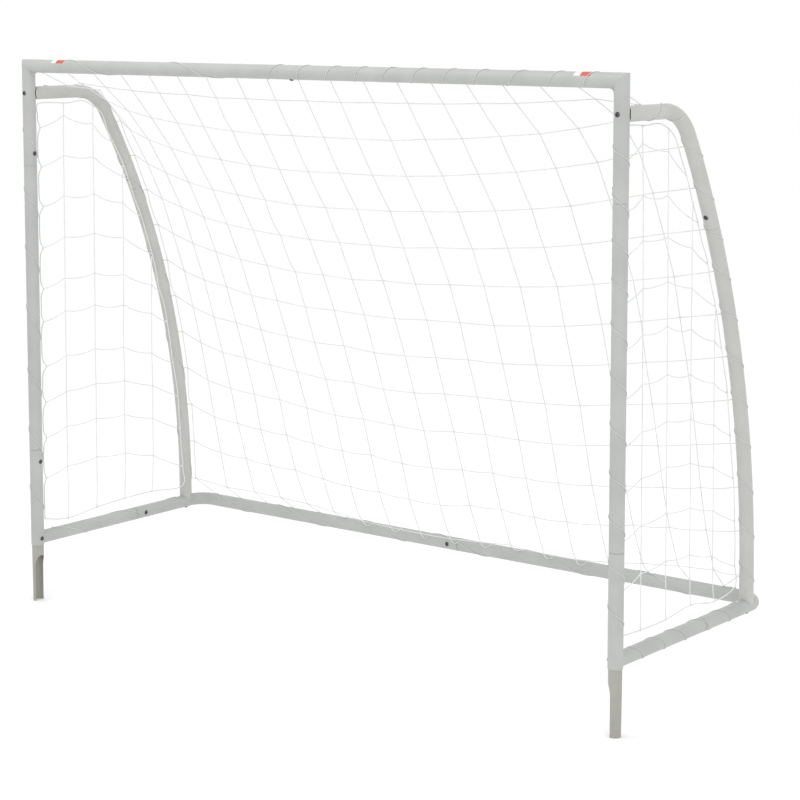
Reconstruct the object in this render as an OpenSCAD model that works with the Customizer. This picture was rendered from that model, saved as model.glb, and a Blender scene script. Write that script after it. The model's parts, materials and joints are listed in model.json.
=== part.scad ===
// A bolt-together tube goal with a laced cord net, in millimetres.
// +X is across the goal, +Y from the mouth towards the back, +Z up. Z = 0 is the ground, under the posts and the bars.
// Frame parts are drawn round their own post: outward is +X, and the ground under the post's axis is the origin.

/* [Goal] */
// Overall width over both posts
goal_w = 1730; // [1300:10:2200]
// Height of the crossbar's top above the ground
goal_h = 1200; // [1150:10:1300]
// Overall depth from the posts' front to the rear bar's back
goal_d = 622; // [590:2:760]

/* [Tube] */
// Outer diameter of every frame tube
tube_d = 32; // [30:0.5:34]
// Wall thickness of every frame tube
wall = 1; // [0.8:0.1:1.4]
// Length of a swaged end inside its socket
spigot_l = 65; // [50:5:80]
// Radial play between a swaged end and its socket
spigot_play = 0.15; // [0.1:0.05:0.3]
// Height of the lower post joint above the ground
low_joint_h = 239; // [180:1:330]
// Height of the upper post joint above the ground
high_joint_h = 943; // [850:1:960]
// Place of the crossbar's joint, from the middle of the goal
cross_joint_x = -35; // [-60:1:60]
// Place of the rear bar's joint, from the middle of the goal
rear_joint_x = 20; // [-60:1:60]
// Distance of the side bar's joint behind the post's axis
side_joint_y = 336; // [300:1:350]
// Centreline radius of the rear corner bend
corner_r = 45; // [40:1:60]

/* [Arms] */
// Drop of the arm's axis below the crossbar's top
arm_drop = 82; // [75:1:95]
// Distance of the arm's foot in front of the rear bar's axis
arm_foot_gap = 59; // [50:1:75]
// Centreline radius of the long curve
arm_curve_r = 1965; // [1900:5:2050]
// Centreline radius of the upper bend
arm_bend_r = 110; // [90:1:120]
// Height above the ground where the long curve begins
arm_curve_h = 60; // [50:1:90]
// Height of the arm's joint above the ground
arm_joint_h = 870; // [780:1:900]

/* [Stakes] */
// Length of a stake below the ground
stake_reach = 142; // [120:1:180]
// Outer diameter of the stake's whole tube
stake_d = 29; // [28:0.5:29.5]
// Outer diameter at the stake's tip
stake_tip_d = 27; // [25:0.5:28]
// Length of the stake that is a whole tube, below the ground
stake_round_l = 25; // [20:1:35]

/* [Fasteners] */
// Distance from a joint line to its screw
screw_off = 29; // [25:1:35]
// Diameter of every screw and bolt
screw_d = 6; // [5:0.5:6]
// Diameter of every head
head_d = 11; // [10:0.5:12]
// Height of every head
head_h = 3; // [2.5:0.5:3.5]

/* [Net] */
// Thickness of the solids that stand for the net
net_t = 1; // [1:0.5:2]
// Gap between those solids and the tubes
net_gap = 4; // [4:0.5:8]
// Diameter of the lacing cord
lace_d = 2; // [1.5:0.5:3]
// Distance between turns of the lacing
lace_pitch = 97; // [90:1:110]

/* [Hidden] */
$fn = 96;

tube_r = tube_d / 2;
bore_r = tube_r - wall;
spigot_r = bore_r - spigot_play;
spigot_bore_r = spigot_r - wall;
taper_l = 3;
cut = 1;

lace_r = tube_r + 0.3 + lace_d / 2;

// The post's axis, and the rear bar's behind it. The bolt heads are the foremost point and the
// lacing on the rear bar the rearmost one, and Y = 0 is midway.
post_x = goal_w / 2 - tube_r;
rear_y = goal_d - tube_d;
post_y = (tube_r + head_h - rear_y - lace_r - lace_d / 2) / 2;
bar_h = tube_r;
cross_h = goal_h - tube_r;
corner_trim_r = 3;
corner_fillet_r = 8;
corner_fillet_t = 12;

// The arm: a level run, the upper bend, the long curve and a plumb run down to the side bar.
arm_h = goal_h - arm_drop;
arm_foot_y = rear_y - arm_foot_gap;
curve_y = arm_foot_y - arm_curve_r;
bend_h = arm_h - arm_bend_r;
bend_y = curve_y + sqrt(pow(arm_curve_r - arm_bend_r, 2) - pow(bend_h - arm_curve_h, 2));
bend_end = asin((bend_h - arm_curve_h) / (arm_curve_r - arm_bend_r));
arm_joint_a = asin((arm_joint_h - arm_curve_h) / arm_curve_r);
saddle_t = 1.8;
arc_seam = 0.02;
lap = 0.8;
saddle_r = tube_r - 1.5;
cope_play = 0.3;
plate_r = bore_r - 0.1;
plate_t = 3;

// The angle of one millimetre along the long curve.
curve_step = 360 / (2 * PI * arm_curve_r);

screw_r = screw_d / 2;
hole_r = screw_r + 0.3;
head_r = head_d / 2;
socket_d = 4.6;
socket_depth = 1.8;
nut_af = 10;
nut_t = 5;
nut_out = 12;
screw_l = 16;

stake_r = stake_d / 2;
stake_tip_r = stake_tip_d / 2;
stake_wall = 1.5;
channel_x = -3;
scoop_r = 48;

label_l = 40;
label_t = 0.2;
label_from_left_post = 93;
label_from_right_post = 66;
label_a = 120;

PAINT = [0.84, 0.85, 0.84];
STEEL = [0.30, 0.31, 0.33];
ZINC = [0.62, 0.63, 0.65];
BLACK = [0.07, 0.07, 0.08];
CORD = [0.93, 0.94, 0.94];
LABEL = [0.95, 0.95, 0.94];

/* Placing */

// The post on one side: -1 is the left one, mirrored, and 1 the right one.
module beside(s) {
    translate([s * post_x, post_y, 0]) mirror([s < 0 ? 1 : 0, 0, 0]) children();
}

module on_both_sides() {
    beside(-1) children();
    beside(1) children();
}

// From a post's own frame, the distance to a place given from the middle of the goal.
function across(s, x) = post_x - s * x;

// An axis that points up is laid along -X, towards the middle of the goal.
module inwards() { rotate([0, -90, 0]) children(); }

// An axis that points up is laid along +Y, towards the back.
module backwards() { rotate([-90, 0, 0]) children(); }

// An axis that points up is turned along the arm's long curve, upwards, at an angle on it.
module on_curve(a) {
    translate([0, curve_y + arm_curve_r * cos(a), arm_curve_h + arm_curve_r * sin(a)])
        rotate([a, 0, 0]) children();
}

/* Tube shapes */

// A tube bent along an arc in the Y-Z plane, from angle a to angle b above +Y.
// A seam thickens its wall a little, so that its neighbours end inside it.
module arc_tube(y, z, radius, a, b, r, seam = 0) {
    facets = max(96, 12 * ceil(radius / 96));
    translate([0, y, z]) rotate([90, 0, 90]) rotate([0, 0, a])
        rotate_extrude(angle = b - a, $fn = facets) translate([radius, 0]) difference() {
            circle(r + seam, $fn = 96);
            circle(r - wall - seam, $fn = 96);
        }
}

// A straight tube that points up.
module straight_tube(length) {
    difference() {
        cylinder(r = tube_r, h = length);
        translate([0, 0, -cut]) cylinder(r = bore_r, h = length + 2 * cut);
    }
}

// The taper between a curved tube and its swaged end. It starts inside the one and ends inside the other.
module curved_taper() {
    rotate_extrude() polygon([
        [bore_r + arc_seam, -lap], [tube_r - arc_seam, -lap],
        [spigot_r - arc_seam, taper_l], [spigot_bore_r + arc_seam, taper_l],
    ]);
}

// The outside of a swaged end. It points up from the shoulder at Z = 0, and the tube ends below it.
module spigot_outside() {
    translate([0, 0, -taper_l]) cylinder(r1 = tube_r, r2 = spigot_r, h = taper_l);
    cylinder(r = spigot_r, h = spigot_l);
}

// The inside of a swaged end, through to the tube's own bore.
module spigot_inside() {
    translate([0, 0, -taper_l]) cylinder(r1 = bore_r, r2 = spigot_bore_r, h = taper_l);
    translate([0, 0, -0.01]) cylinder(r = spigot_bore_r, h = spigot_l + cut);
}

// A screw hole through the wall of an upright tube, in its -X side.
module wall_hole(z) {
    translate([0, 0, z]) inwards() cylinder(r = hole_r, h = tube_r + cut);
}

/* Frame tubes */

// The mitred corner as a solid of one radius: an upright leg and an inward leg, each cut at 45 degrees.
module mitred_legs(r, down, reach) {
    intersection() {
        translate([0, 0, cross_h - down]) cylinder(r = r, h = down + r);
        translate([0, 0, cross_h]) rotate([0, -45, 0])
            translate([-2 * down, -tube_d, -3 * down]) cube([4 * down, 2 * tube_d, 3 * down]);
    }
    intersection() {
        translate([r, 0, cross_h]) inwards() cylinder(r = r, h = reach + r);
        translate([0, 0, cross_h]) rotate([0, -45, 0])
            translate([-3 * reach, -tube_d, 0]) cube([4 * reach, 2 * tube_d, 3 * reach]);
    }
}

// Rounds the corner's outer edge where the weld is ground smooth.
module corner_envelope(down, reach) {
    translate([0, tube_d, 0]) rotate([90, 0, 0]) linear_extrude(2 * tube_d)
        difference() {
            translate([-reach - tube_d, cross_h - down - tube_d])
                square([reach + tube_d + tube_r, down + tube_d + tube_r]);
            translate([tube_r - corner_trim_r, cross_h + tube_r - corner_trim_r])
                difference() {
                    square(2 * corner_trim_r);
                    circle(corner_trim_r);
                }
        }
}

// The weld's fillet in the corner's inner angle.
module corner_fillet() {
    translate([-tube_r, corner_fillet_t / 2, cross_h - tube_r]) rotate([90, 0, 0])
        linear_extrude(corner_fillet_t)
            translate([-corner_fillet_r, -corner_fillet_r]) difference() {
                square(corner_fillet_r + 2);
                circle(corner_fillet_r);
            }
}

module top_corner(s) {
    reach = across(s, cross_joint_x);
    male = s < 0;
    leg = cross_h - high_joint_h;
    color(PAINT) difference() {
        union() {
            intersection() {
                mitred_legs(tube_r, leg, male ? reach - taper_l : reach);
                corner_envelope(leg, reach);
            }
            corner_fillet();
            if (male) translate([-reach, 0, cross_h]) inwards() spigot_outside();
        }
        mitred_legs(bore_r, leg + cut, male ? reach - taper_l : reach + cut);
        if (male) translate([-reach, 0, cross_h]) inwards() spigot_inside();
        wall_hole(high_joint_h + screw_off);
        translate([0, 0, arm_h]) backwards() translate([0, 0, -tube_d]) cylinder(r = hole_r, h = 2 * tube_d);
        translate([male ? -reach - screw_off : -reach + screw_off, 0, cross_h - tube_r - cut])
            cylinder(r = hole_r, h = tube_r);
    }
}

// A straight post section with a swaged end in each of its neighbours.
module post_middle() {
    color(PAINT) difference() {
        union() {
            translate([0, 0, low_joint_h + taper_l])
                cylinder(r = tube_r, h = high_joint_h - low_joint_h - 2 * taper_l);
            translate([0, 0, high_joint_h]) spigot_outside();
            translate([0, 0, low_joint_h]) mirror([0, 0, 1]) spigot_outside();
        }
        translate([0, 0, low_joint_h + taper_l - 0.01])
            cylinder(r = bore_r, h = high_joint_h - low_joint_h - 2 * taper_l + 0.02);
        translate([0, 0, high_joint_h]) spigot_inside();
        translate([0, 0, low_joint_h]) mirror([0, 0, 1]) spigot_inside();
        wall_hole(high_joint_h + screw_off);
        wall_hole(low_joint_h - screw_off);
    }
}

// The bottom of a post, with the side bar coped and welded to its back.
module post_foot() {
    bar_run = side_joint_y - taper_l;
    color(PAINT) union() {
        difference() {
            straight_tube(low_joint_h);
            wall_hole(low_joint_h - screw_off);
            wall_hole(bar_h);
        }
        difference() {
            translate([0, 0, bar_h]) union() {
                backwards() cylinder(r = tube_r, h = bar_run);
                translate([0, side_joint_y, 0]) backwards() spigot_outside();
            }
            translate([0, -cut, bar_h]) backwards() cylinder(r = bore_r, h = bar_run + cut + 0.01);
            translate([0, side_joint_y, bar_h]) backwards() spigot_inside();
            translate([0, 0, -tube_r]) cylinder(r = tube_r - wall / 2, h = 2 * tube_d);
            translate([0, side_joint_y + screw_off, bar_h]) inwards() cylinder(r = hole_r, h = tube_r);
        }
    }
}

// A tube that is whole near the ground and narrows further down to a channel, open towards the goal's middle.
module ground_stake() {
    channel_top = stake_round_l + sqrt(pow(scoop_r, 2) - pow(scoop_r - stake_r - channel_x, 2));
    color(PAINT) difference() {
        rotate_extrude() polygon([
            [spigot_r, spigot_l], [spigot_r, 0], [stake_r, 0], [stake_r, -stake_round_l],
            [stake_tip_r, -stake_reach], [stake_tip_r - stake_wall, -stake_reach],
            [stake_r - stake_wall, -stake_round_l], [stake_r - stake_wall, -taper_l],
            [spigot_r - stake_wall, 0], [spigot_r - stake_wall, spigot_l],
        ]);
        translate([channel_x - scoop_r, 0, -channel_top]) rotate([90, 0, 0])
            cylinder(r = scoop_r, h = 2 * stake_d, center = true);
        translate([channel_x - 2 * stake_d, -stake_d, -stake_reach - cut])
            cube([2 * stake_d, 2 * stake_d, stake_reach - channel_top + cut]);
        wall_hole(bar_h);
    }
}

// Half of the rear bar, bent round the corner into the side bar's socket.
module rear_corner(s) {
    reach = across(s, rear_joint_x);
    male = s > 0;
    bar_l = reach - corner_r - (male ? taper_l : 0);
    run = rear_y - corner_r - side_joint_y;
    color(PAINT) translate([0, 0, bar_h]) difference() {
        union() {
            translate([0, side_joint_y, 0]) backwards() cylinder(r = tube_r, h = run);
            translate([-corner_r, rear_y - corner_r, 0])
                rotate_extrude(angle = 90) translate([corner_r, 0]) circle(tube_r);
            translate([-corner_r, rear_y, 0]) inwards() cylinder(r = tube_r, h = bar_l);
            if (male) translate([-reach, rear_y, 0]) inwards() spigot_outside();
        }
        translate([0, side_joint_y - cut, 0]) backwards() cylinder(r = bore_r, h = run + cut);
        translate([-corner_r, rear_y - corner_r, 0])
            rotate_extrude(angle = 90) translate([corner_r, 0]) circle(bore_r);
        translate([-corner_r, rear_y, 0]) inwards() cylinder(r = bore_r, h = male ? bar_l : bar_l + cut);
        if (male) translate([-reach, rear_y, 0]) inwards() spigot_inside();
        translate([0, side_joint_y + screw_off, 0]) inwards() cylinder(r = hole_r, h = tube_d);
        translate([-reach + (male ? -screw_off : screw_off), rear_y - tube_d, 0]) backwards()
            cylinder(r = hole_r, h = tube_d);
        translate([0, arm_foot_y, -tube_d]) cylinder(r = hole_r, h = 2 * tube_d);
    }
}

/* Arms */

// The hole for an arm joint's screw, in the arm's side that faces the post.
module arm_joint_hole() {
    on_curve(arm_joint_a + screw_off * curve_step) rotate([90, 0, 0]) cylinder(r = hole_r, h = tube_d);
}

// The top of an arm: a level run that is coped to the post, the bend and the start of the long curve.
module upper_arm() {
    color(PAINT) difference() {
        union() {
            translate([0, 0, arm_h]) backwards() straight_tube(bend_y + lap);
            arc_tube(bend_y, bend_h, arm_bend_r, bend_end, 90, tube_r, arc_seam);
            arc_tube(curve_y, arm_curve_h, arm_curve_r, arm_joint_a, bend_end + lap * curve_step, tube_r);
        }
        translate([0, 0, arm_h - tube_d]) cylinder(r = tube_r + saddle_t, h = 2 * tube_d);
        arm_joint_hole();
    }
}

// The rest of an arm: its swaged top, the long curve and a foot that is coped over the side bar.
module lower_arm() {
    body_top = arm_joint_a - taper_l * curve_step;
    spigot_foot = arm_joint_a - lap * curve_step;
    spigot_top = arm_joint_a + spigot_l * curve_step;
    color(PAINT) difference() {
        union() {
            translate([0, arm_foot_y, bar_h]) straight_tube(arm_curve_h - bar_h);
            arc_tube(curve_y, arm_curve_h, arm_curve_r, 0, body_top, tube_r);
            on_curve(body_top) curved_taper();
            arc_tube(curve_y, arm_curve_h, arm_curve_r, spigot_foot, spigot_top, spigot_r);
        }
        translate([0, 0, bar_h]) backwards() cylinder(r = tube_r + cope_play, h = 2 * rear_y);
        arm_joint_hole();
    }
}

// The thin black plastic saddle between the arm's coped end and the round post.
module arm_saddle() {
    color(BLACK) translate([0, 0, arm_h]) difference() {
        intersection() {
            backwards() cylinder(r = saddle_r, h = tube_d);
            cylinder(r = tube_r + saddle_t, h = 2 * tube_d, center = true);
        }
        cylinder(r = tube_r, h = 2 * tube_d, center = true);
        backwards() cylinder(r = hole_r, h = 2 * tube_d);
    }
}

// The plate with a thread that is welded in an arm's end. Its face is at Z = 0 and its nut above.
module end_plate() {
    color(ZINC) difference() {
        union() {
            cylinder(r = plate_r, h = plate_t);
            cylinder(d = nut_af / cos(30), h = plate_t + nut_t, $fn = 6);
        }
        translate([0, 0, -cut]) cylinder(r = screw_r + 0.05, h = plate_t + nut_t + 2 * cut);
    }
}

module arm_end_plates() {
    on_both_sides() {
        translate([0, tube_r + saddle_t, arm_h]) backwards() end_plate();
        translate([0, arm_foot_y, tube_d + 2 * cope_play]) end_plate();
    }
}

/* Fasteners */

// A domed socket head on the tube's surface at Z = 0, with its shank running down.
module screw(length) {
    dome_r = (pow(head_r, 2) + pow(head_h, 2)) / (2 * head_h);
    color(STEEL) {
        translate([0, 0, -length]) cylinder(r = screw_r, h = length + 0.01);
        difference() {
            intersection() {
                cylinder(r = head_r, h = head_h);
                translate([0, 0, head_h - dome_r]) sphere(dome_r);
            }
            translate([0, 0, head_h - socket_depth]) cylinder(d = socket_d, h = head_h, $fn = 6);
        }
    }
}

// A hexagon nut welded inside a swaged end, on the screw's own axis, measured from the tube's axis.
module weld_nut() {
    color(ZINC) translate([0, 0, nut_out - nut_t]) difference() {
        cylinder(d = nut_af / cos(30), h = nut_t, $fn = 6);
        translate([0, 0, -cut]) cylinder(r = screw_r + 0.05, h = nut_t + 2 * cut);
    }
}

// Each joint's place, with +Z pointing out along the screw from the tube's own axis.
module at_crossbar_joint() {
    translate([cross_joint_x + screw_off, post_y, cross_h]) rotate([180, 0, 0]) children();
}
module at_rear_joint() {
    translate([rear_joint_x - screw_off, post_y + rear_y, bar_h])
        rotate([90, 0, 0]) children();
}
module at_post_upper() {
    on_both_sides() translate([0, 0, high_joint_h + screw_off]) inwards() children();
}
module at_post_lower() {
    on_both_sides() translate([0, 0, low_joint_h - screw_off]) inwards() children();
}
module at_stake() {
    on_both_sides() translate([0, 0, bar_h]) inwards() children();
}
module at_side_joint() {
    on_both_sides() translate([0, side_joint_y + screw_off, bar_h]) inwards() children();
}
module at_arm_joint() {
    on_both_sides() on_curve(arm_joint_a + screw_off * curve_step) rotate([90, 0, 0]) children();
}

module tube_screw() { translate([0, 0, tube_r]) screw(screw_l); }

module crossbar_screw() { at_crossbar_joint() tube_screw(); }
module post_upper_screws() { at_post_upper() tube_screw(); }
module post_lower_screws() { at_post_lower() tube_screw(); }
module stake_screws() { at_stake() tube_screw(); }
module side_bar_screws() { at_side_joint() tube_screw(); }
module rear_bar_screw() { at_rear_joint() tube_screw(); }
module arm_joint_screws() { at_arm_joint() tube_screw(); }

module joint_weld_nuts() {
    at_crossbar_joint() weld_nut();
    at_rear_joint() weld_nut();
    at_post_upper() weld_nut();
    at_post_lower() weld_nut();
    at_stake() weld_nut();
    at_side_joint() weld_nut();
    at_arm_joint() weld_nut();
}

// The long bolts, through a whole tube and into an arm's end plate.
module arm_mount_bolts() {
    on_both_sides() translate([0, -tube_r, arm_h]) rotate([90, 0, 0])
        screw(tube_d + saddle_t + plate_t + nut_t + 3);
}
module arm_base_bolts() {
    on_both_sides() translate([0, arm_foot_y, 0]) rotate([180, 0, 0])
        screw(tube_d + 2 * cope_play + plate_t + nut_t + 3);
}

/* Labels */

// A blank wrap over the top of the crossbar, near one post.
module label(s) {
    from_post = s < 0 ? label_from_left_post : label_from_right_post;
    color(LABEL) beside(s) translate([-from_post, 0, cross_h]) inwards()
        rotate([0, 0, -label_a / 2]) rotate_extrude(angle = label_a)
            translate([tube_r, 0]) square([label_t, label_l]);
}

/* Net */

// The flat, D-shaped side panel, inside the post, the arm and the side bar.
module net_side() {
    inset = tube_r + net_gap;
    outline = concat(
        [[inset, tube_d + net_gap], [arm_foot_y - inset, tube_d + net_gap]],
        [for (a = [0:3:bend_end]) [curve_y + (arm_curve_r - inset) * cos(a),
                                   arm_curve_h + (arm_curve_r - inset) * sin(a)]],
        [for (a = [bend_end:12:90]) [bend_y + (arm_bend_r - inset) * cos(a),
                                     bend_h + (arm_bend_r - inset) * sin(a)]],
        [[inset, arm_h - inset]]
    );
    color(CORD) translate([-net_t / 2, 0, 0]) rotate([90, 0, 90]) linear_extrude(net_t) polygon(outline);
}

// The back panel's fall in the middle of the goal, as [distance behind the post, height above the ground].
net_fall = [
    [tube_r + net_gap, cross_h - 12], [0.31 * rear_y, 0.806 * cross_h], [0.585 * rear_y, 0.577 * cross_h],
    [0.787 * rear_y, 0.341 * cross_h], [0.93 * rear_y, 0.14 * cross_h],
    [rear_y - 3, tube_d + net_gap],
];

// One flat strip of the back panel, between the arms.
module net_strip(a, b) {
    run = norm(b - a);
    lean = atan2(b[1] - a[1], b[0] - a[0]);
    half_w = post_x - tube_r - net_gap;
    translate([0, post_y + a[0], a[1]]) rotate([lean, 0, 0])
        translate([-half_w, 0, -net_t / 2]) cube([2 * half_w, run - net_t / 2, net_t]);
}

module net_back() {
    color(CORD) for (i = [0:len(net_fall) - 2]) net_strip(net_fall[i], net_fall[i + 1]);
}

/* Lacing */

// One turn of cord round a tube that points up.
module lace_turn() {
    color(CORD) rotate_extrude() translate([lace_r, 0]) circle(lace_d / 2, $fn = 24);
}

module lacing_crossbar() {
    turns = round((2 * post_x) / lace_pitch);
    step = 2 * post_x / turns;
    for (i = [0:turns - 1])
        translate([-post_x + (i + 0.5) * step, post_y, cross_h]) inwards() lace_turn();
}

module lacing_posts() {
    for (i = [0:floor((arm_h - 2 * tube_d - lace_pitch) / lace_pitch)])
        on_both_sides() translate([0, 0, 80 + i * lace_pitch]) lace_turn();
}

module lacing_arms() {
    for (a = [2:3:bend_end - 1]) on_both_sides() on_curve(a) lace_turn();
    for (y = [60, 120]) on_both_sides() translate([0, y, arm_h]) backwards() lace_turn();
}

module lacing_ground_bars() {
    turns = round((2 * post_x) / lace_pitch);
    step = 2 * post_x / turns;
    for (i = [1:turns - 2])
        translate([-post_x + (i + 0.5) * step, post_y + rear_y, bar_h]) inwards() lace_turn();
    for (y = [60:94:rear_y - 150])
        on_both_sides() translate([0, y, bar_h]) backwards() lace_turn();
}

/* The nodes */

beside(-1) top_corner(-1);  // top_corner_left
beside(1) top_corner(1);  // top_corner_right
beside(-1) post_middle();  // post_middle_left
beside(1) post_middle();  // post_middle_right
beside(-1) post_foot();  // post_foot_left
beside(1) post_foot();  // post_foot_right
beside(-1) ground_stake();  // ground_stake_left
beside(1) ground_stake();  // ground_stake_right
beside(-1) rear_corner(-1);  // rear_corner_left
beside(1) rear_corner(1);  // rear_corner_right
beside(-1) upper_arm();  // upper_arm_left
beside(1) upper_arm();  // upper_arm_right
beside(-1) lower_arm();  // lower_arm_left
beside(1) lower_arm();  // lower_arm_right
beside(-1) arm_saddle();  // arm_saddle_left
beside(1) arm_saddle();  // arm_saddle_right
crossbar_screw();
post_upper_screws();
post_lower_screws();
stake_screws();
side_bar_screws();
rear_bar_screw();
arm_joint_screws();
arm_mount_bolts();
arm_base_bolts();
joint_weld_nuts();
arm_end_plates();
label(-1);  // label_left
label(1);  // label_right
net_back();
beside(-1) net_side();  // net_side_left
beside(1) net_side();  // net_side_right
lacing_crossbar();
lacing_posts();
lacing_arms();
lacing_ground_bars();
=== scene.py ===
"""A bolt-together tube goal with its knotted cord net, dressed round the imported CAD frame, in metres.

The steel tubes, screws, saddles and labels are the CAD nodes with their finishes. The net and the lacing
are new pieces: each cord is a tube swept along the line that it takes, with its knots.
"""

import json
import math

import bpy
import numpy as np
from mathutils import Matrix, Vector


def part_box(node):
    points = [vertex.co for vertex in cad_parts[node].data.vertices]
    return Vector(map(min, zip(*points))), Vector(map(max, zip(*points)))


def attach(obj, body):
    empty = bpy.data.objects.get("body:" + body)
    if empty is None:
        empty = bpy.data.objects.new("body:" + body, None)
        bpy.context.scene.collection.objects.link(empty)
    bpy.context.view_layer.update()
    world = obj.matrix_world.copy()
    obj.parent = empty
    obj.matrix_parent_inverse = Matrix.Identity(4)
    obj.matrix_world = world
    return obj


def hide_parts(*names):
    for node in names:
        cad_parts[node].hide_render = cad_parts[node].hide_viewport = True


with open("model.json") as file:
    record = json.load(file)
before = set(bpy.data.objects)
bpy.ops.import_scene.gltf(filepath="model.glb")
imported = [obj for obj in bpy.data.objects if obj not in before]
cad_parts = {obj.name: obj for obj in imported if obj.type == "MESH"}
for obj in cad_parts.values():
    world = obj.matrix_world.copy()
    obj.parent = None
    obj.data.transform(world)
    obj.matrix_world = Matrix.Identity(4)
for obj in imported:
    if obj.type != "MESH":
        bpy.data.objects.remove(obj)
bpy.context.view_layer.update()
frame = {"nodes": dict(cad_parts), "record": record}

MM = 0.001


def box_of(node):
    """A CAD node's lowest and highest corners as arrays."""
    low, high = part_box(node)
    return np.array(low), np.array(high)


# The frame's own sizes, from its nodes. H is above the ground and D behind the posts' axes.
post_low, post_high = box_of("post_middle_right")
TUBE_R = (post_high[0] - post_low[0]) / 2
POST_X = (post_high[0] + post_low[0]) / 2
POST_Y = (post_high[1] + post_low[1]) / 2
rear_low, rear_high = box_of("rear_corner_right")
GROUND = rear_low[2]
REAR_D = rear_high[1] - TUBE_R - POST_Y
BAR_H = TUBE_R
CROSSBAR_H = box_of("top_corner_right")[1][2] - TUBE_R - GROUND
ARM_H = box_of("upper_arm_right")[1][2] - TUBE_R - GROUND
FOOT_D = box_of("lower_arm_right")[1][1] - TUBE_R - POST_Y
FLOOR = box_of("ground_stake_right")[0][2]

# The arm's bends and the rear bar's corner, as they are in the CAD model.
CURVE_R = 1.965
CURVE_H = 0.060
BEND_R = 0.110
CORNER_R = 0.045

# Cords: their radii, and the distance of the lacing's middle from a tube's axis.
NET_R = 1.0 * MM
BORDER_R = 1.3 * MM
LACE_CORD_R = 0.75 * MM
LACE_R = TUBE_R + 0.1 * MM + LACE_CORD_R
SIDES = 8

rng = np.random.default_rng(20)


# Camera, floor and light


def make_camera():
    """A long lens in front of the goal and to its right, turned towards the middle of it."""
    data = bpy.data.cameras.new("camera")
    data.lens = 100.75
    data.sensor_width = 36
    data.shift_y = -0.16
    camera = bpy.data.objects.new("camera", data)
    camera.location = (3.2239, -4.0197, GROUND + 1.3345)
    camera.rotation_euler = (math.radians(90 - 6.846), 0, math.radians(38.168))
    bpy.context.scene.collection.objects.link(camera)
    bpy.context.scene.camera = camera


def make_lamp(name, place, aim, size, power):
    """A soft square lamp of one side length, turned from its place to what it lights."""
    data = bpy.data.lights.new(name, "AREA")
    data.size = size
    data.energy = power
    lamp = bpy.data.objects.new(name, data)
    lamp.location = place
    lamp.rotation_euler = (Vector(aim) - Vector(place)).to_track_quat("-Z", "Y").to_euler()
    bpy.context.scene.collection.objects.link(lamp)


def make_studio():
    """A pale room: even light from all round, a soft lamp from the right and a weaker one from above."""
    world = bpy.data.worlds.new("studio")
    world.use_nodes = True
    world.node_tree.nodes["Background"].inputs["Color"].default_value = (1, 1, 1, 1)
    world.node_tree.nodes["Background"].inputs["Strength"].default_value = 1.03
    bpy.context.scene.world = world
    bpy.context.scene.view_settings.view_transform = "Standard"
    make_lamp("key", (3.2, -2.6, 2.2), (0.4, 0, 0.7), 1.6, 23)
    make_lamp("top", (-0.4, -0.9, 2.5), (0, 0.1, 0.8), 1.6, 9)


def make_floor(half=40.0):
    """A flat square that carries the stakes' tips."""
    mesh = bpy.data.meshes.new("floor")
    corners = [(-half, -half, FLOOR), (half, -half, FLOOR), (half, half, FLOOR), (-half, half, FLOOR)]
    mesh.from_pydata(corners, [], [(0, 1, 2, 3)])
    floor = bpy.data.objects.new("floor", mesh)
    bpy.context.scene.collection.objects.link(floor)
    material, _, shader = new_material("floor_card")
    shader.inputs["Base Color"].default_value = (0.97, 0.97, 0.97, 1)
    shader.inputs["Roughness"].default_value = 0.9
    shader.inputs["Specular IOR Level"].default_value = 0.1
    mesh.materials.append(material)


# Materials


def new_material(name):
    """A material and its node tree, with one Principled shader."""
    material = bpy.data.materials.new(name)
    material.use_nodes = True
    return material, material.node_tree, material.node_tree.nodes["Principled BSDF"]


def add_node(tree, kind, **values):
    """A node with its properties or its input sockets set by name."""
    made = tree.nodes.new(kind)
    for name, value in values.items():
        if hasattr(made, name):
            setattr(made, name, value)
        else:
            made.inputs[name.replace("_", " ")].default_value = value
    return made


def noise(tree, scale, detail=3.0):
    """Noise on the Object coordinates, scale lumps to a metre."""
    place = add_node(tree, "ShaderNodeTexCoord")
    texture = add_node(tree, "ShaderNodeTexNoise", Scale=scale, Detail=detail)
    tree.links.new(place.outputs["Object"], texture.inputs["Vector"])
    return texture.outputs["Fac"]


def between(tree, value, low, high):
    """A colour that runs from low to high where value runs over the middle of its range."""
    ramp = add_node(tree, "ShaderNodeValToRGB")
    ramp.color_ramp.elements[0].position = 0.3
    ramp.color_ramp.elements[1].position = 0.7
    ramp.color_ramp.elements[0].color = (*low, 1)
    ramp.color_ramp.elements[1].color = (*high, 1)
    tree.links.new(value, ramp.inputs["Fac"])
    return ramp.outputs["Color"]


def in_range(tree, value, low, high):
    """A number that runs from low to high where value runs from 0.3 to 0.7."""
    mapped = add_node(tree, "ShaderNodeMapRange")
    for name, number in (("From Min", 0.3), ("From Max", 0.7), ("To Min", low), ("To Max", high)):
        mapped.inputs[name].default_value = number
    tree.links.new(value, mapped.inputs["Value"])
    return mapped.outputs["Result"]


def raise_bumps(tree, shader, height, distance, strength=1.0):
    """Tilts the shader's normal by a height pattern, distance metres from its lowest to its highest."""
    bump = add_node(tree, "ShaderNodeBump", Strength=strength, Distance=distance)
    tree.links.new(height, bump.inputs["Height"])
    tree.links.new(bump.outputs["Normal"], shader.inputs["Normal"])


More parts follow.
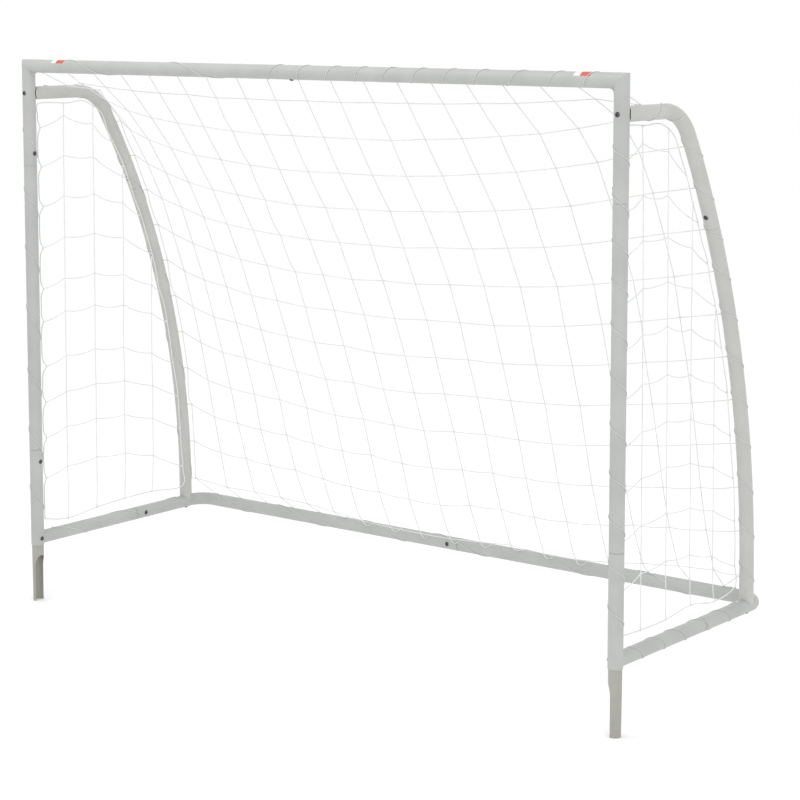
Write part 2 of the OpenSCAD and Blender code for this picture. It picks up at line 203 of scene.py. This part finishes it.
def powder_coat(name, dark, pale):
    """Satin powder coat: a fine orange peel, a faint clouding of its colour and a slightly uneven gloss."""
    material, tree, shader = new_material(name)
    tree.links.new(between(tree, noise(tree, 14, 5), dark, pale), shader.inputs["Base Color"])
    tree.links.new(in_range(tree, noise(tree, 60), 0.34, 0.48), shader.inputs["Roughness"])
    shader.inputs["Specular IOR Level"].default_value = 0.45
    raise_bumps(tree, shader, noise(tree, 900, 2), 0.03 * MM, 0.6)
    return material


def worn_metal(name, dark, pale, low, high):
    """Bare or plated metal: a mottled colour, and a gloss and a surface broken up by handling."""
    material, tree, shader = new_material(name)
    tree.links.new(between(tree, noise(tree, 260, 4), dark, pale), shader.inputs["Base Color"])
    tree.links.new(in_range(tree, noise(tree, 500), low, high), shader.inputs["Roughness"])
    shader.inputs["Metallic"].default_value = 0.9
    raise_bumps(tree, shader, noise(tree, 2400, 2), 0.02 * MM, 0.5)
    return material


def moulded_plastic(name):
    """Black plastic with a fine spark-eroded grain."""
    material, tree, shader = new_material(name)
    grain = noise(tree, 3000, 2)
    tree.links.new(between(tree, grain, (0.010, 0.010, 0.011), (0.022, 0.022, 0.024)),
                   shader.inputs["Base Color"])
    tree.links.new(in_range(tree, grain, 0.45, 0.62), shader.inputs["Roughness"])
    raise_bumps(tree, shader, grain, 0.03 * MM)
    return material


def label_film(name, node):
    """White film whose end towards +X, a little over half of it, is plain red."""
    material, tree, shader = new_material(name)
    low, high = box_of(node)
    place = add_node(tree, "ShaderNodeTexCoord")
    parts = add_node(tree, "ShaderNodeSeparateXYZ")
    tree.links.new(place.outputs["Object"], parts.inputs["Vector"])
    is_red = add_node(tree, "ShaderNodeMath", operation="GREATER_THAN")
    tree.links.new(parts.outputs["X"], is_red.inputs[0])
    is_red.inputs[1].default_value = high[0] - 0.6 * (high[0] - low[0])
    tint = between(tree, is_red.outputs["Value"], (0.70, 0.70, 0.68), (0.60, 0.07, 0.05))
    tree.links.new(tint, shader.inputs["Base Color"])
    tree.links.new(in_range(tree, noise(tree, 90), 0.22, 0.32), shader.inputs["Roughness"])
    return material


def cord_finish(name, dark, pale, strands, lay):
    """White cord of twisted strands: ridges that turn round it once every lay metres, on the cord's own UV
    (turn round it, metres along it), with a sheen and a faint clouding along its length."""
    material, tree, shader = new_material(name)
    place = add_node(tree, "ShaderNodeTexCoord")
    parts = add_node(tree, "ShaderNodeSeparateXYZ")
    tree.links.new(place.outputs["UV"], parts.inputs["Vector"])
    along = add_node(tree, "ShaderNodeMath", operation="MULTIPLY")
    tree.links.new(parts.outputs["Y"], along.inputs[0])
    along.inputs[1].default_value = 2 * math.pi / lay
    turned = add_node(tree, "ShaderNodeMath", operation="MULTIPLY_ADD")
    tree.links.new(parts.outputs["X"], turned.inputs[0])
    turned.inputs[1].default_value = 2 * math.pi * strands
    tree.links.new(along.outputs["Value"], turned.inputs[2])
    ridge = add_node(tree, "ShaderNodeMath", operation="SINE")
    tree.links.new(turned.outputs["Value"], ridge.inputs[0])
    raise_bumps(tree, shader, ridge.outputs["Value"], 0.12 * MM, 0.8)
    tree.links.new(between(tree, noise(tree, 35, 4), dark, pale), shader.inputs["Base Color"])
    shader.inputs["Roughness"].default_value = 0.62
    shader.inputs["Sheen Weight"].default_value = 0.25
    return material


# Meshes


class Cordwork:
    """Swept cords and knots gathered into one mesh: points, faces of any number of sides, and their UVs."""

    def __init__(self):
        self.points, self.faces, self.uvs = [], [], []
        self.count = 0

    def add(self, points, faces, uvs):
        """Adds points with arrays of faces that number them from 0, and each face corner's UV."""
        self.points.append(points)
        for numbers, corners in zip(faces, uvs):
            self.faces.extend((numbers + self.count).tolist())
            self.uvs.append(corners.reshape(-1, 2))
        self.count += len(points)

    def make(self, name, material, replaced):
        """The object, which stands for the CAD nodes in replaced."""
        mesh = bpy.data.meshes.new(name)
        mesh.from_pydata(np.concatenate(self.points).tolist(), [], self.faces)
        layer = mesh.uv_layers.new(name="UVMap")
        layer.data.foreach_set("uv", np.concatenate(self.uvs).ravel())
        mesh.polygons.foreach_set("use_smooth", np.ones(len(self.faces), bool))
        mesh.materials.append(material)
        piece = bpy.data.objects.new(name, mesh)
        bpy.context.scene.collection.objects.link(piece)
        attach(piece, "root")
        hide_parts(*replaced)
        return piece


def unit(vectors):
    """Each vector at a length of 1."""
    return vectors / np.maximum(np.linalg.norm(vectors, axis=-1, keepdims=True), 1e-12)


def smooth_line(points, parts=2):
    """A Catmull-Rom curve through the points, with each span cut into parts."""
    ends = np.concatenate([2 * points[:1] - points[1:2], points, 2 * points[-1:] - points[-2:-1]])
    p0, p1, p2, p3 = ends[:-3, None], ends[1:-2, None], ends[2:-1, None], ends[3:, None]
    t = (np.arange(parts) / parts)[None, :, None]
    curve = 0.5 * (2 * p1 + (p2 - p0) * t + (2 * p0 - 5 * p1 + 4 * p2 - p3) * t**2
                   + (3 * p1 - p0 - 3 * p2 + p3) * t**3)
    return np.concatenate([curve.reshape(-1, 3), points[-1:]])


def quad_grid(rings, sides):
    """The ring and the side that each quad starts from, and the quads between rings of sides points."""
    i, j = np.meshgrid(np.arange(rings - 1), np.arange(sides), indexing="ij")
    k = (j + 1) % sides
    quads = np.stack([i * sides + j, i * sides + k, (i + 1) * sides + k, (i + 1) * sides + j], -1)
    return i, j, quads.reshape(-1, 4)


def sweep(work, points, radius, lead, sides=SIDES):
    """A round cord along a line. At each point a ring stands across the line: radius times the cosine of
    the angle along lead made square to the line, and times the sine along the direction square to both.
    Each ring is joined to the next, and one face closes each end. UV is (turn round, metres along)."""
    rings = len(points)
    ahead = unit(np.gradient(points, axis=0))
    lead = np.broadcast_to(np.asarray(lead, float), points.shape)
    first = unit(lead - (lead * ahead).sum(-1, keepdims=True) * ahead)
    second = np.cross(ahead, first)
    angle = 2 * np.pi * np.arange(sides) / sides
    ring = np.cos(angle)[None, :, None] * first[:, None] + np.sin(angle)[None, :, None] * second[:, None]
    skin = (points[:, None] + radius * ring).reshape(-1, 3)
    i, j, quads = quad_grid(rings, sides)
    run = np.concatenate([[0], np.cumsum(np.linalg.norm(np.diff(points, axis=0), axis=-1))])
    u = np.stack([j, j + 1, j + 1, j], -1) / sides
    v = np.stack([run[i], run[i], run[i + 1], run[i + 1]], -1)
    ends = np.stack([np.arange(sides)[::-1], (rings - 1) * sides + np.arange(sides)])
    work.add(skin, [quads, ends], [np.stack([u, v], -1), np.zeros((2, sides, 2))])


def knots(work, places, across, along, size=2.5 * MM, rows=5, columns=8):
    """A small overhand knot at each place: a ball flattened to two thirds of its size square to the net,
    with three lobes that wind round it, r = 1 + 0.16 cos(3 longitude + 2 latitude). across and along are
    the directions of the cords that it ties. Each is turned and sized a little differently."""
    latitude = np.linspace(-np.pi / 2, np.pi / 2, rows + 2)[1:-1]
    longitude = 2 * np.pi * np.arange(columns) / columns
    lat, lon = np.meshgrid(latitude, longitude, indexing="ij")
    r = 1 + 0.16 * np.cos(3 * lon + 2 * lat)
    ball = np.stack([r * np.cos(lat) * np.cos(lon), r * np.cos(lat) * np.sin(lon), 0.66 * np.sin(lat)], -1)
    shape = np.concatenate([ball.reshape(-1, 3), [[0, 0, -0.66], [0, 0, 0.66]]])
    quads = quad_grid(rows, columns)[2]
    j = np.arange(columns)
    k = (j + 1) % columns
    south = np.full(columns, rows * columns)
    top = (rows - 1) * columns
    caps = np.concatenate([np.stack([south, k, j], -1), np.stack([south + 1, top + j, top + k], -1)])
    first = unit(across)
    third = unit(np.cross(first, along))
    second = np.cross(third, first)
    turn = rng.uniform(0, 2 * np.pi, len(places))[:, None]
    spun = np.cos(turn) * first + np.sin(turn) * second, np.cos(turn) * second - np.sin(turn) * first
    axes = np.stack([spun[0], spun[1], third], 1)
    scale = size * rng.uniform(0.85, 1.15, len(places))
    points = places[:, None] + scale[:, None, None] * np.einsum("pk,nkx->npx", shape, axes)
    step = len(shape) * np.arange(len(places))[:, None, None]
    work.add(points.reshape(-1, 3), [(quads + step).reshape(-1, 4), (caps + step).reshape(-1, 3)],
             [np.zeros((len(places) * len(quads), 4, 2)), np.zeros((len(places) * len(caps), 3, 2))])


# Hanging cords


PASSES = 8
SPEED_KEPT = 0.97
FALL = 1.2e-5
OVER_PULL = 1.5


class Net:
    """Knots joined by lengths of cord. A knot stays in its place if it is tied to the frame."""

    def __init__(self):
        self.places, self.tied, self.first, self.second, self.length = [], [], [], [], []

    def knot(self, place, tied=False):
        """Adds a knot and gives its number."""
        self.places.append(place)
        self.tied.append(tied)
        return len(self.places) - 1

    def cord(self, first, second, length, spread=0.018):
        """Adds a length of cord between two knots, longer or shorter by spread, and gives its number."""
        self.first.append(first)
        self.second.append(second)
        self.length.append(length * (1 + rng.normal(0, spread)))
        return len(self.length) - 1

    def settle(self, pieces, drops, keep_out=None):
        """Lets the net hang. Each cord is cut into pieces. At every drop each free point goes on with most
        of its own speed and falls by up to FALL. Then the passes pull together the ends of each stretched
        piece, and a point moves by OVER_PULL times the mean of what its pieces ask. A slack piece is left
        alone. Each cord's points from knot to knot are kept in self.lines."""
        knots_at = np.array(self.places, float)
        first, second = np.array(self.first), np.array(self.second)
        part = np.arange(1, pieces)[None, :, None] / pieces
        inner = knots_at[first][:, None] * (1 - part) + knots_at[second][:, None] * part
        numbers = len(knots_at) + np.arange(len(first) * (pieces - 1)).reshape(len(first), -1)
        chain = np.concatenate([first[:, None], numbers, second[:, None]], 1)
        a, b = chain[:, :-1].ravel(), chain[:, 1:].ravel()
        rest = np.repeat(np.array(self.length) / pieces, pieces)
        now = np.concatenate([knots_at, inner.reshape(-1, 3)])
        free = np.ones(len(now))
        free[: len(self.tied)] = ~np.array(self.tied)
        total = np.maximum(free[a] + free[b], 1e-9)
        share_a, share_b = free[a] / total, free[b] / total
        pulls = np.maximum(np.bincount(a, minlength=len(now)) + np.bincount(b, minlength=len(now)), 1)
        before = now.copy()
        for step in range(drops):
            speed = SPEED_KEPT * (now - before) * free[:, None]
            before = now.copy()
            now = now + speed
            now[:, 2] -= free * FALL * (1 - 0.8 * step / drops)
            for _ in range(PASSES):
                gap = now[b] - now[a]
                length = np.linalg.norm(gap, axis=1)
                move = gap * (np.maximum(length - rest, 0) / np.maximum(length, 1e-9))[:, None]
                for axis in range(3):
                    pull = np.bincount(a, move[:, axis] * share_a, len(now))
                    pull -= np.bincount(b, move[:, axis] * share_b, len(now))
                    now[:, axis] += OVER_PULL * pull / pulls
            if keep_out is not None:
                now = keep_out(now)
        self.places = list(now[: len(knots_at)])
        self.lines = now[chain]


def place_at(side, out, behind, above):
    """World places from distances out from the goal's middle, behind the post's axis and above ground."""
    out, behind, above = np.broadcast_arrays(out, behind, above)
    return np.stack([side * out, POST_Y + behind, GROUND + above], -1).astype(float)


def off_rear_bar(points):
    """Pushes points out of the rear bar, straight away from its axis."""
    y = points[:, 1] - (POST_Y + REAR_D)
    z = points[:, 2] - (GROUND + BAR_H)
    distance = np.maximum(np.hypot(y, z), 1e-9)
    grow = np.maximum(LACE_R / distance, 1)
    points[:, 1] += y * (grow - 1)
    points[:, 2] += z * (grow - 1)
    return points


# The arm's axis: up from the foot, the long curve, the upper bend and the level run to the post.
curve_d = FOOT_D - CURVE_R
bend_h = ARM_H - BEND_R
bend_d = curve_d + math.sqrt((CURVE_R - BEND_R) ** 2 - (bend_h - CURVE_H) ** 2)
bend_angle = math.asin((bend_h - CURVE_H) / (CURVE_R - BEND_R))
ARM_PARTS = (bend_d, BEND_R * (math.pi / 2 - bend_angle), CURVE_R * bend_angle, CURVE_H - 2 * BAR_H)
ARM_LENGTH = sum(ARM_PARTS)


def arm_axis(run):
    """(behind, above) of the arm's axis and its outward direction, run metres along it from the post: a level
    line, an arc of BEND_R, an arc of CURVE_R and a plumb line."""
    run = np.asarray(run, float)
    ends = np.cumsum(ARM_PARTS)
    in_bend = np.clip(run - ends[0], 0, ARM_PARTS[1]) / BEND_R
    in_curve = np.clip(run - ends[1], 0, ARM_PARTS[2]) / CURVE_R
    angle = math.pi / 2 - in_bend - in_curve
    on_curve = run > ends[1]
    radius = np.where(on_curve, CURVE_R, BEND_R)
    centre_d = np.where(on_curve, curve_d, bend_d)
    centre_h = np.where(on_curve, CURVE_H, bend_h)
    behind = centre_d + radius * np.cos(angle) + np.minimum(run - ends[0], 0)
    above = centre_h + radius * np.sin(angle) - np.maximum(run - ends[2], 0)
    return behind, above, np.cos(angle), np.sin(angle)


# The back net: rows across the goal and columns down it.
ROWS = 13
COLUMNS = 19
ROW_MESH = 0.0922
COLUMN_MESH = 0.1005
LAST_CORD = 0.042
TOP_CORD = 0.060
FIRST_ROW_RUN = 0.110
ROW_RUN = 0.100
EDGE_IN = 0.024
EDGE_OUT = 0.014
BOTTOM_LEAN = 0.030


def edge_knots(side):
    """The ends of the back net's rows, beside the arm and a little outside its curve."""
    run = FIRST_ROW_RUN + ROW_RUN * np.arange(ROWS)
    behind, above, out_d, out_h = arm_axis(run)
    return place_at(side, POST_X - EDGE_IN, behind + EDGE_OUT * out_d, above + EDGE_OUT * out_h)


def make_back_net(material):
    """The back net. It is tied to the crossbar, the arms and the rear bar along its edges, and the rest
    hangs. dip is the fall and the lead of its first guess, a sine across the goal."""
    net = Net()
    left, right = edge_knots(-1), edge_knots(1)
    share = np.linspace(0, 1, COLUMNS)
    grid = np.zeros((ROWS, COLUMNS), int)
    dip = 0.08 * np.sin(np.pi * share)
    for row in range(ROWS):
        for column in range(COLUMNS):
            place = left[row] * (1 - share[column]) + right[row] * share[column]
            place = place - np.array([0, dip[column], 0.5 * dip[column]])
            grid[row, column] = net.knot(place, tied=column in (0, COLUMNS - 1))
    across = POST_X - EDGE_IN
    x = np.linspace(-across, across, COLUMNS)
    top_r = (LACE_R + BORDER_R) * math.sqrt(0.5)
    top = [net.knot(p, True) for p in place_at(1, x, top_r, CROSSBAR_H - top_r)]
    bottom_x = np.minimum(x + BOTTOM_LEAN, POST_X - 2 * CORNER_R)
    bottom = [net.knot(p, True) for p in place_at(1, bottom_x, REAR_D, BAR_H + LACE_R)]
    row_cords = np.array([[net.cord(grid[r, c], grid[r, c + 1], ROW_MESH) for c in range(COLUMNS - 1)]
                          for r in range(ROWS)])
    column_cords = []
    for c in range(COLUMNS):
        cords = [net.cord(top[c], grid[0, c], TOP_CORD)]
        cords += [net.cord(grid[r, c], grid[r + 1, c], COLUMN_MESH) for r in range(ROWS - 1)]
        cords.append(net.cord(grid[-1, c], bottom[c], LAST_CORD))
        column_cords.append(cords)
    net.settle(1, 500, keep_out=off_rear_bar)
    net.settle(5, 320, keep_out=off_rear_bar)
    work = Cordwork()
    for cords in row_cords:
        sweep(work, smooth_line(joined(net.lines[cords])), NET_R, (0, 0.6, 0.8))
    for cords in column_cords:
        sweep(work, smooth_line(joined(net.lines[np.array(cords)])), NET_R, (1, 0, 0))
    places = np.array(net.places)[grid]
    knots(work, places.reshape(-1, 3), np.gradient(places, axis=1).reshape(-1, 3),
          np.gradient(places, axis=0).reshape(-1, 3))
    for side, edge in ((-1, left), (1, right)):
        make_stubs(work, side, edge)
    border = place_at(1, np.linspace(-POST_X + TUBE_R, POST_X - TUBE_R, 120), top_r, CROSSBAR_H - top_r)
    sweep(work, border, BORDER_R, (0, 0, 1))
    knots(work, np.array(net.places)[top], np.tile([1.0, 0, 0], (COLUMNS, 1)),
          np.tile([0, 0.0, 1], (COLUMNS, 1)), 2.9 * MM)
    work.make("net_back_cords", material, ["net_back"])


def joined(lines):
    """One line through a row of cords that follow each other."""
    return np.concatenate([lines[:, :-1].reshape(-1, 3), lines[-1, -1:]])


def make_stubs(work, side, edge):
    """Short ends of cord from the back net's edge knots to the arm."""
    run = FIRST_ROW_RUN + ROW_RUN * np.arange(ROWS)
    behind, above, out_d, out_h = arm_axis(run)
    near = unit(np.stack([-side * EDGE_IN * np.ones(ROWS), EDGE_OUT * out_d, EDGE_OUT * out_h], -1))
    on_arm = place_at(side, POST_X, behind, above) + LACE_R * near
    for start, end in zip(edge, on_arm):
        sweep(work, np.linspace(start, end, 4), NET_R, (0, 0.3, 1))


# The side nets: D-shaped, inside the post, the arm and the side bar. The border is held to the post between
# the rows, and each row pulls it in by about NUB.
SIDE_ROWS = 10
SIDE_TOP_H = 1.029
SIDE_LOW_H = 0.159
SIDE_MESH = 0.100
BORDER_GAP = 0.021
NUB = 0.013
NUB_SPAN = 0.016
BOTTOM_BORDER_H = 0.060
ROOF = 0.150
ROOF_FALL = 0.190
ARM_END_FALL = 0.045
BORDER_CLEAR = 0.025
PLANE_IN = 0.004
ARM_SIDE_IN = 0.010


def arm_border(run, gap=0.028):
    """(behind, above) of the side net's border along the arm, gap inside its axis."""
    behind, above, out_d, out_h = arm_axis(run)
    return behind - gap * out_d, above - gap * out_h


def make_side_net(side, material):
    """One side net: rows that rise and then fall towards the arm, u times ROOF less u squared times ROOF_FALL
    where u runs from 0 at the post to 1 at the arm, and plumb columns one mesh apart."""
    run = np.linspace(0, ARM_LENGTH, 600)
    arm_d, arm_h = arm_border(run)
    net = Net()
    heights = np.linspace(SIDE_TOP_H, SIDE_LOW_H, SIDE_ROWS) + rng.normal(0, 4 * MM, SIDE_ROWS)
    x = POST_X - PLANE_IN
    grid = {}
    lines, post_ends, arm_ends = [], [], []
    steps = SIDE_MESH * np.arange(1, 6)
    tops = np.interp(steps, arm_d, arm_h)
    for row, h in enumerate(heights):
        reach = np.interp(h - ARM_END_FALL, arm_h[::-1], arm_d[::-1])
        start = net.knot(place_at(side, x, BORDER_GAP + NUB * rng.uniform(0.6, 1.3), h), True)
        end = net.knot(place_at(side, x - ARM_SIDE_IN, reach, h - ARM_END_FALL), True)
        post_ends.append(start)
        arm_ends.append(end)
        line = [start]
        for column, (d, top_h) in enumerate(zip(steps, tops)):
            u = d / reach
            above = h + ROOF * u - ROOF_FALL * u**2
            if d < reach - BORDER_CLEAR and above < top_h - BORDER_CLEAR:
                grid[row, column] = net.knot(place_at(side, x + rng.normal(0, 3 * MM), d, above))
                line.append(grid[row, column])
        lines.append(line + [end])
    column_tops, column_feet = [], []
    for column, (d, top_h) in enumerate(zip(steps, tops)):
        rows = [row for row in range(SIDE_ROWS) if (row, column) in grid]
        if not rows:
            continue
        top = net.knot(place_at(side, x - ARM_SIDE_IN, d, top_h), True)
        foot = net.knot(place_at(side, x, d, BOTTOM_BORDER_H + rng.normal(0, 9 * MM)), True)
        column_tops.append(top)
        column_feet.append(foot)
        lines.append([top] + [grid[row, column] for row in rows] + [foot])
    strings = []
    for line in lines:
        cords = []
        for a, b in zip(line[:-1], line[1:]):
            span = np.linalg.norm(np.subtract(net.places[a], net.places[b]))
            cords.append(net.cord(a, b, 0.996 * span, 0.004))
        strings.append(np.array(cords))
    net.settle(1, 200)
    net.settle(5, 200)
    work = Cordwork()
    for cords in strings:
        sweep(work, smooth_line(joined(net.lines[cords])), NET_R, (side, 0.1, 0.1))
    places = np.array(net.places)
    inner = places[list(grid.values())]
    knots(work, inner, np.tile([0, 1.0, 0.1], (len(inner), 1)), np.tile([0, 0.1, -1.0], (len(inner), 1)))
    make_border(work, side, x, places[post_ends], places[column_feet], places[arm_ends + column_tops])
    name = "left" if side < 0 else "right"
    work.make(f"net_{name}_cords", material, [f"net_side_{name}"])


def make_border(work, side, x, post_knots, foot_knots, arm_knots):
    """The side net's border: up the post, where each row pulls it in between the turns of the lacing, along
    the arm, and back along the side bar."""
    post_knots = post_knots[np.argsort(post_knots[:, 2])]
    post_h = post_knots[:, 2] - GROUND
    between_rows = (post_h[1:] + post_h[:-1]) / 2
    low, high = BOTTOM_BORDER_H, arm_border(0.03)[1]
    turns = np.concatenate([[low, (low + post_h[0]) / 2], between_rows, [(high + post_h[-1]) / 2, high]])
    gaps = BORDER_GAP + rng.uniform(0, 3 * MM, len(turns))
    nub = post_knots[:, 1] - POST_Y - BORDER_GAP
    heights = np.concatenate([turns, post_h, post_h - NUB_SPAN, post_h + NUB_SPAN])
    depths = np.concatenate([gaps, BORDER_GAP + nub, BORDER_GAP + 0.25 * nub, BORDER_GAP + 0.25 * nub])
    order = np.argsort(heights)
    post_line = place_at(side, x, depths[order], heights[order])
    run = np.linspace(0.06, ARM_LENGTH - 0.03, 26)
    gap = 0.026 + 3 * MM * rng.uniform(-1, 1, len(run))
    arm_line = place_at(side, x - ARM_SIDE_IN, *arm_border(run, gap))
    foot_d = np.sort(foot_knots[:, 1]) - POST_Y
    foot_line = place_at(side, x, foot_d, foot_knots[np.argsort(foot_knots[:, 1]), 2] - GROUND)
    outline = np.concatenate([post_line, arm_line, foot_line[::-1], post_line[:1]])
    sweep(work, smooth_line(outline, 4), BORDER_R, (side, 0.05, 0.05))
    tied = np.concatenate([post_knots, foot_knots, arm_knots])
    knots(work, tied, np.tile([0, 0.2, 1.0], (len(tied), 1)), np.tile([0, 1.0, 0.1], (len(tied), 1)),
          2.7 * MM)


# The lacing: a cord wound along each tube.
SLACK_TURN = 0.3


def wound(marks, front, hand, per_turn=40):
    """(run, angle) of a cord wound round a tube, one turn from each mark to the next. It runs slowly along
    the tube where it crosses the front, u - SLACK_TURN sin(2 pi (u - front)) / 2 pi, and faster behind."""
    turns = len(marks) - 1
    u = np.linspace(0, turns, turns * per_turn + 1)
    whole = np.minimum(u.astype(int), turns - 1)
    part = u - whole
    swing = np.sin(2 * np.pi * (part - front)) + math.sin(2 * np.pi * front)
    eased = part - SLACK_TURN * swing / (2 * np.pi)
    marks = np.asarray(marks)
    return marks[whole] + (marks[whole + 1] - marks[whole]) * eased, hand * 2 * np.pi * u


def on_straight_tube(start, ahead, out, run, angle, radius=LACE_R):
    """Places round a straight tube, and the direction away from its axis at each."""
    ahead, out = np.array(ahead, float), np.array(out, float)
    other = np.cross(ahead, out)
    away = np.cos(angle)[:, None] * out + np.sin(angle)[:, None] * other
    return np.array(start) + run[:, None] * ahead + radius * away, away


def on_arm(side, run, angle, radius=LACE_R):
    """Places round an arm, run metres along it from the post."""
    behind, above, out_d, out_h = arm_axis(run)
    out = np.stack([np.zeros_like(run), out_d, out_h], -1)
    across = np.tile([float(side), 0, 0], (len(run), 1))
    away = np.cos(angle)[:, None] * out + np.sin(angle)[:, None] * across
    return place_at(side, POST_X, behind, above) + radius * away, away


def marks_between(start, stop, pitch, spread=0.12):
    """Marks about a pitch apart from start to stop, with seeded differences."""
    count = max(2, round((stop - start) / pitch) + 1)
    marks = np.linspace(start, stop, count)
    marks[1:-1] += rng.normal(0, spread * pitch, count - 2)
    return np.sort(marks)


def make_lacing(material):
    """The lacing on the crossbar, the posts, the arms and the ground bars, knotted at each cord's ends."""
    def lay(work, points, away):
        sweep(work, points, LACE_CORD_R, away)
        knots(work, points[[0, -1]], away[[0, -1]], np.roll(away[[0, -1]], 1, axis=1), 2.4 * MM)

    work = Cordwork()
    inner = POST_X - TUBE_R
    crossbar_start = place_at(1, 0, 0, CROSSBAR_H)
    for start, stop, pitch, hand in ((-inner + 0.03, -0.12, 0.30, 1), (-0.10, inner - 0.02, 0.085, -1)):
        run, angle = wound(marks_between(start, stop, pitch), 0.5, hand)
        lay(work, *on_straight_tube(crossbar_start, (1, 0, 0), (0, 1, 0), run, angle))
    work.make("crossbar_lacing_cord", material, ["lacing_crossbar"])

    work = Cordwork()
    for side, pitch in ((-1, 0.150), (1, 0.096)):
        run, angle = wound(marks_between(0.075, ARM_H - 0.03, pitch), 0.5, -1)
        lay(work, *on_straight_tube(place_at(side, POST_X, 0, 0), (0, 0, 1), (0, 1, 0), run, angle))
    work.make("post_lacing_cord", material, ["lacing_posts"])

    work = Cordwork()
    for side, pitch in ((-1, 0.260), (1, 0.100)):
        run, angle = wound(marks_between(0.05, ARM_LENGTH - 0.02, pitch, 0.06), 0.5, -side)
        lay(work, *on_arm(side, run, angle))
    work.make("arm_lacing_cord", material, ["lacing_arms"])

    work = Cordwork()
    run, angle = wound(marks_between(-inner + CORNER_R, inner - CORNER_R, 0.270), 0.5, 1)
    lay(work, *on_straight_tube(place_at(1, 0, REAR_D, BAR_H), (1, 0, 0), (0, 0, 1), run, angle))
    for side, pitch in ((-1, 0.200), (1, 0.095)):
        run, angle = wound(marks_between(0.05, REAR_D - 0.10, pitch), 0.5, 1)
        lay(work, *on_straight_tube(place_at(side, POST_X, 0, BAR_H), (0, 1, 0), (0, 0, 1), run, angle))
    work.make("ground_bar_lacing_cord", material, ["lacing_ground_bars"])


# The whole goal

make_camera()
make_studio()
make_floor()

finishes = {
    "powder_coat": powder_coat("powder_coat", (0.395, 0.405, 0.392), (0.440, 0.450, 0.435)),
    # The stakes get a darker, yellower copy of the tube paint: painted shade on the stakes near the ground.
    "stake_coat": powder_coat("stake_coat", (0.31, 0.31, 0.275), (0.37, 0.37, 0.33)),
    "dark_screw": worn_metal("dark_screw", (0.050, 0.050, 0.053), (0.120, 0.120, 0.125), 0.28, 0.46),
    "zinc": worn_metal("zinc", (0.50, 0.51, 0.53), (0.66, 0.67, 0.69), 0.25, 0.42),
    "black_plastic": moulded_plastic("black_plastic"),
    "net_cord": cord_finish("net_cord", (0.62, 0.63, 0.63), (0.73, 0.74, 0.74), 3, 6 * MM),
    "lacing_cord": cord_finish("lacing_cord", (0.56, 0.57, 0.57), (0.66, 0.66, 0.66), 3, 6 * MM),
}
own_finishes = {node: label_film(node + "_film", node) for node in ("label_left", "label_right")}
# The arms get a paler, warmer copy of the tube paint: painted light, for the extra light that falls on the
# arms.
arm_coat_painted_light = powder_coat("arm_coat_painted_light", (0.440, 0.446, 0.420), (0.485, 0.490, 0.460))
for node in ("upper_arm_left", "upper_arm_right", "lower_arm_left", "lower_arm_right"):
    own_finishes[node] = arm_coat_painted_light
for subpart in frame["record"]["subparts"]:
    node = subpart["node"]
    for material_slot in frame["nodes"][node].material_slots:
        material_slot.material = own_finishes.get(node) or finishes[subpart["material_slot"]]

make_back_net(finishes["net_cord"])
make_side_net(-1, finishes["net_cord"])
make_side_net(1, finishes["net_cord"])
make_lacing(finishes["lacing_cord"])
